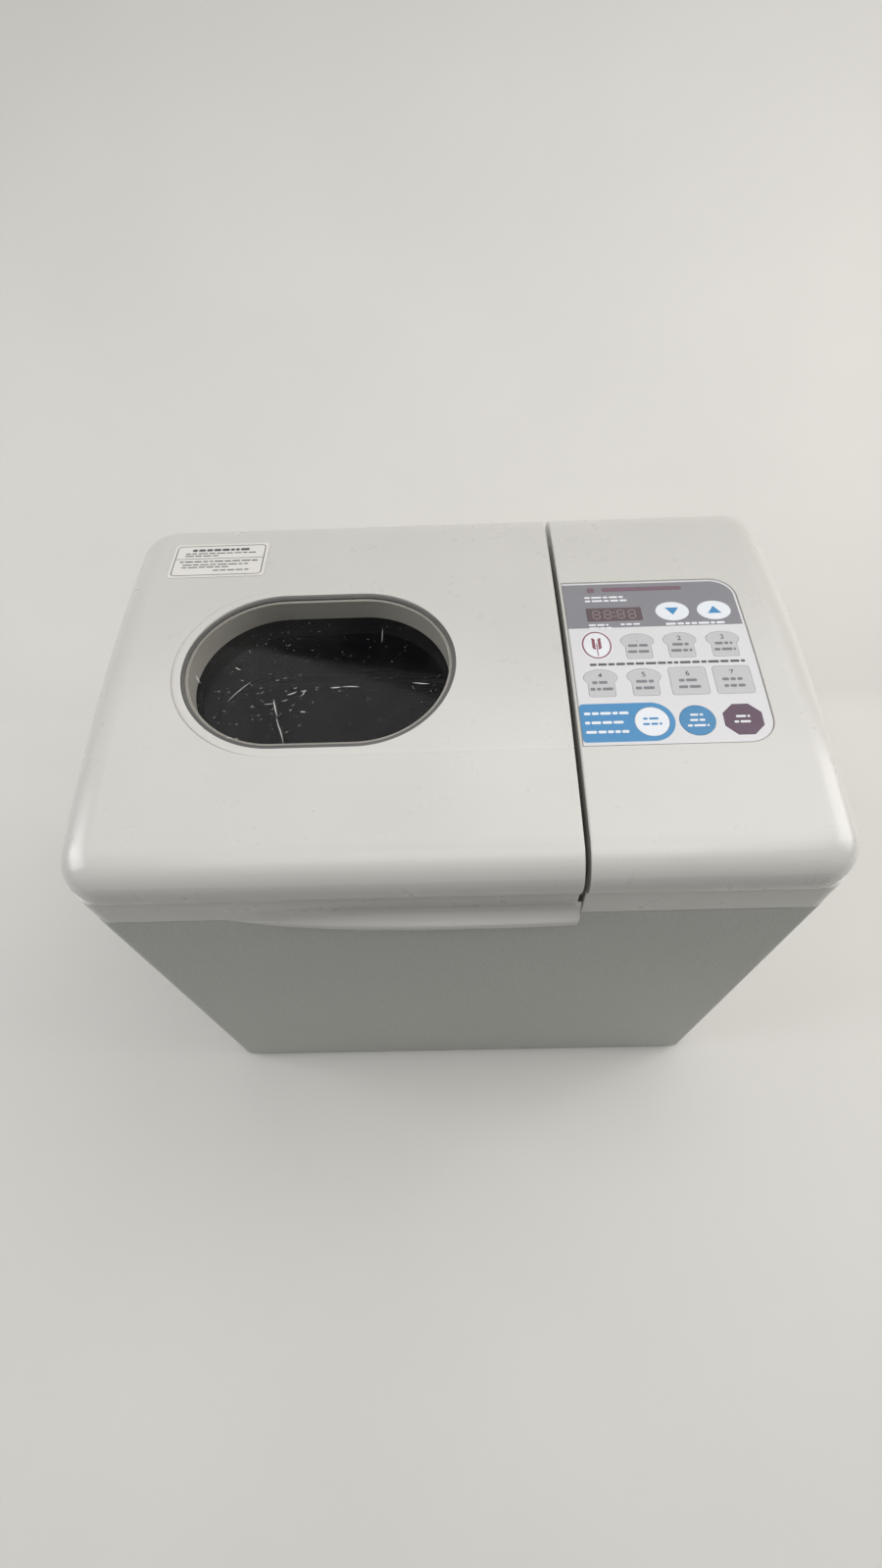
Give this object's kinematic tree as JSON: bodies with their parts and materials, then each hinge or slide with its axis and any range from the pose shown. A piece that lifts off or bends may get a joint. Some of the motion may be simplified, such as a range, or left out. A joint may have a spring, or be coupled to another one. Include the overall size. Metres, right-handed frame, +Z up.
{
  "type": "bread machine",
  "caption": "Countertop bread machine: crowned off-white lid with an oval window and a finger lip, a key panel beside it, a grey painted case, and a lift-out pan with a belt-driven paddle.",
  "frame": {"origin": "on the floor under the middle of the machine", "axes": "+Z up, -Y towards the front with the finger lip, +X towards the key panel"},
  "size_m": [0.36, 0.2448, 0.3485],
  "materials": {
    "housing_plastic": "satin moulded",
    "case_paint": "fine textured paint",
    "dark_plastic": "moulded",
    "grey_plastic": "moulded",
    "rubber": "matt",
    "plated_steel": "bright",
    "sheet_steel": "rolled",
    "cast_aluminium": "cast",
    "non_stick": "non-stick coating",
    "window_glass": "smoked, polished",
    "film": "fine matt film",
    "label": "sticker",
    "circuit_board": "solder mask",
    "winding": "varnished",
    "key_white": "satin",
    "key_grey": "satin",
    "key_blue": "satin",
    "key_purple": "satin"
  },
  "bodies": {
    "base": {"control_cover": "housing_plastic", "top_deck": "housing_plastic", "rear_cover": "housing_plastic", "case_wrap": "case_paint", "base_pan": "dark_plastic", "cord_gland": "dark_plastic", "foot_front_left": "rubber", "foot_front_right": "rubber", "foot_rear_left": "rubber", "foot_rear_right": "rubber", "drive_belt": "rubber", "hinge_pin_left": "plated_steel", "hinge_pin_right": "plated_steel", "rear_screw_1": "plated_steel", "rear_screw_2": "plated_steel", "rear_screw_3": "plated_steel", "rear_screw_4": "plated_steel", "heating_element": "plated_steel", "temperature_sensor": "plated_steel", "pan_clip": "plated_steel", "oven_liner": "sheet_steel", "compartment_wall": "sheet_steel", "motor_bracket": "sheet_steel", "drive_bearing_housing": "cast_aluminium", "motor_capacitor": "cast_aluminium", "display_lens": "window_glass", "panel_film": "film", "control_board": "circuit_board", "power_board": "circuit_board", "motor_stator": "winding"},
    "lid": {"lid_shell": "housing_plastic", "lid_inner_plate": "sheet_steel", "window_gasket": "rubber", "window_pane": "window_glass", "window_well": "grey_plastic", "inner_glass": "window_glass", "lid_label": "label"},
    "pan": {"bread_pan": "non_stick", "pan_base": "cast_aluminium"},
    "bail": {"bail_handle": "plated_steel"},
    "paddle": {"pan_shaft": "plated_steel", "pan_coupling": "cast_aluminium", "kneading_paddle": "non_stick"},
    "drive": {"drive_shaft": "plated_steel", "large_pulley": "dark_plastic"},
    "motor": {"motor_rotor": "plated_steel", "small_pulley": "dark_plastic", "motor_fan": "dark_plastic"},
    "button_timer_down": {"key_timer_down": "key_white"},
    "button_timer_up": {"key_timer_up": "key_white"},
    "button_program_1": {"key_program_1": "key_grey"},
    "button_program_2": {"key_program_2": "key_grey"},
    "button_program_3": {"key_program_3": "key_grey"},
    "button_program_4": {"key_program_4": "key_grey"},
    "button_program_5": {"key_program_5": "key_grey"},
    "button_program_6": {"key_program_6": "key_grey"},
    "button_program_7": {"key_program_7": "key_grey"},
    "button_crust": {"key_crust": "key_white"},
    "button_start": {"key_start": "key_blue"},
    "button_stop": {"key_stop": "key_purple"}
  },
  "joints": [
    {"name": "lid_hinge", "type": "hinge", "parent": "base", "child": "lid", "pos_m": [-0.06, 0.1116, 0.298], "axis": [-1, 0, 0], "range_deg": [0, 95]},
    {"name": "pan_lift", "type": "slide", "parent": "base", "child": "pan", "axis": [0, 0, 1], "range_m": [0, 0.008]},
    {"name": "bail_swing", "type": "hinge", "parent": "pan", "child": "bail", "pos_m": [-0.064, -0.003, 0.256], "axis": [1, 0, 0], "range_deg": [0, 162]},
    {"name": "paddle_spin", "type": "hinge", "parent": "pan", "child": "paddle", "pos_m": [-0.064, -0.003, 0.14], "axis": [0, 0, 1], "continuous": true},
    {"name": "drive_spin", "type": "hinge", "parent": "base", "child": "drive", "pos_m": [-0.064, -0.003, 0.03], "axis": [0, 0, 1], "continuous": true},
    {"name": "motor_spin", "type": "hinge", "parent": "base", "child": "motor", "pos_m": [0.112, 0, 0.05], "axis": [0, 0, 1], "continuous": true},
    {"name": "press_timer_down", "type": "slide", "parent": "base", "child": "button_timer_down", "axis": [0, 0, -1], "range_m": [0, 0.0006], "stiffness_N_per_m": 1500},
    {"name": "press_timer_up", "type": "slide", "parent": "base", "child": "button_timer_up", "axis": [0, 0, -1], "range_m": [0, 0.0006], "stiffness_N_per_m": 1500},
    {"name": "press_program_1", "type": "slide", "parent": "base", "child": "button_program_1", "axis": [0, 0, -1], "range_m": [0, 0.0006], "stiffness_N_per_m": 1500},
    {"name": "press_program_2", "type": "slide", "parent": "base", "child": "button_program_2", "axis": [0, 0, -1], "range_m": [0, 0.0006], "stiffness_N_per_m": 1500},
    {"name": "press_program_3", "type": "slide", "parent": "base", "child": "button_program_3", "axis": [0, 0, -1], "range_m": [0, 0.0006], "stiffness_N_per_m": 1500},
    {"name": "press_program_4", "type": "slide", "parent": "base", "child": "button_program_4", "axis": [0, 0, -1], "range_m": [0, 0.0006], "stiffness_N_per_m": 1500},
    {"name": "press_program_5", "type": "slide", "parent": "base", "child": "button_program_5", "axis": [0, 0, -1], "range_m": [0, 0.0006], "stiffness_N_per_m": 1500},
    {"name": "press_program_6", "type": "slide", "parent": "base", "child": "button_program_6", "axis": [0, 0, -1], "range_m": [0, 0.0006], "stiffness_N_per_m": 1500},
    {"name": "press_program_7", "type": "slide", "parent": "base", "child": "button_program_7", "axis": [0, 0, -1], "range_m": [0, 0.0006], "stiffness_N_per_m": 1500},
    {"name": "press_crust", "type": "slide", "parent": "base", "child": "button_crust", "axis": [0, 0, -1], "range_m": [0, 0.0006], "stiffness_N_per_m": 1500},
    {"name": "press_start", "type": "slide", "parent": "base", "child": "button_start", "axis": [0, 0, -1], "range_m": [0, 0.0006], "stiffness_N_per_m": 1500},
    {"name": "press_stop", "type": "slide", "parent": "base", "child": "button_stop", "axis": [0, 0, -1], "range_m": [0, 0.0006], "stiffness_N_per_m": 1500}
  ],
  "couplings": [
    {"joint": "paddle_spin", "follows": "drive_spin", "ratio": 1},
    {"joint": "motor_spin", "follows": "drive_spin", "ratio": 5.3333}
  ]
}
